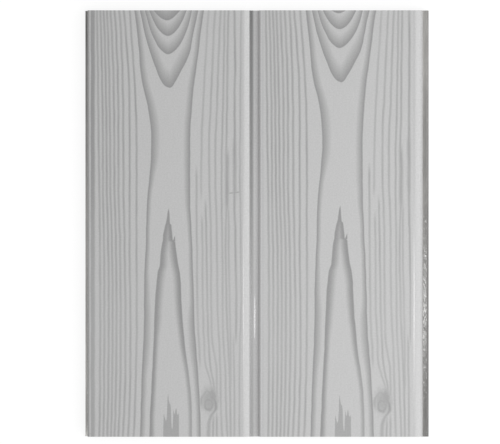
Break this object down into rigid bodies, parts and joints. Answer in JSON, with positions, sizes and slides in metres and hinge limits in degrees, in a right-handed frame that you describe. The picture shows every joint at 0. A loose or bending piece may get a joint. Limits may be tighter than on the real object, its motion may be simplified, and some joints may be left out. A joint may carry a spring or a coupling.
{
  "type": "cladding board",
  "caption": "Short cut length of hollow PVC cladding board with a pair of round-shouldered planks, a recessed joint between them, a groove on one edge and a tongue on the other.",
  "frame": {"origin": "middle of the board's width and length, on the plane of its flat back", "axes": "+X across the board towards the tongue, +Y along its length, +Z out of the decorated face"},
  "size_m": [0.2, 0.248, 0.01],
  "materials": {
    "printed_pvc": "light grey wood-grain print under a satin gloss coat on the face, plain mid-grey PVC elsewhere"
  },
  "bodies": {
    "root": {"cladding_board": "printed_pvc"}
  },
  "joints": []
}
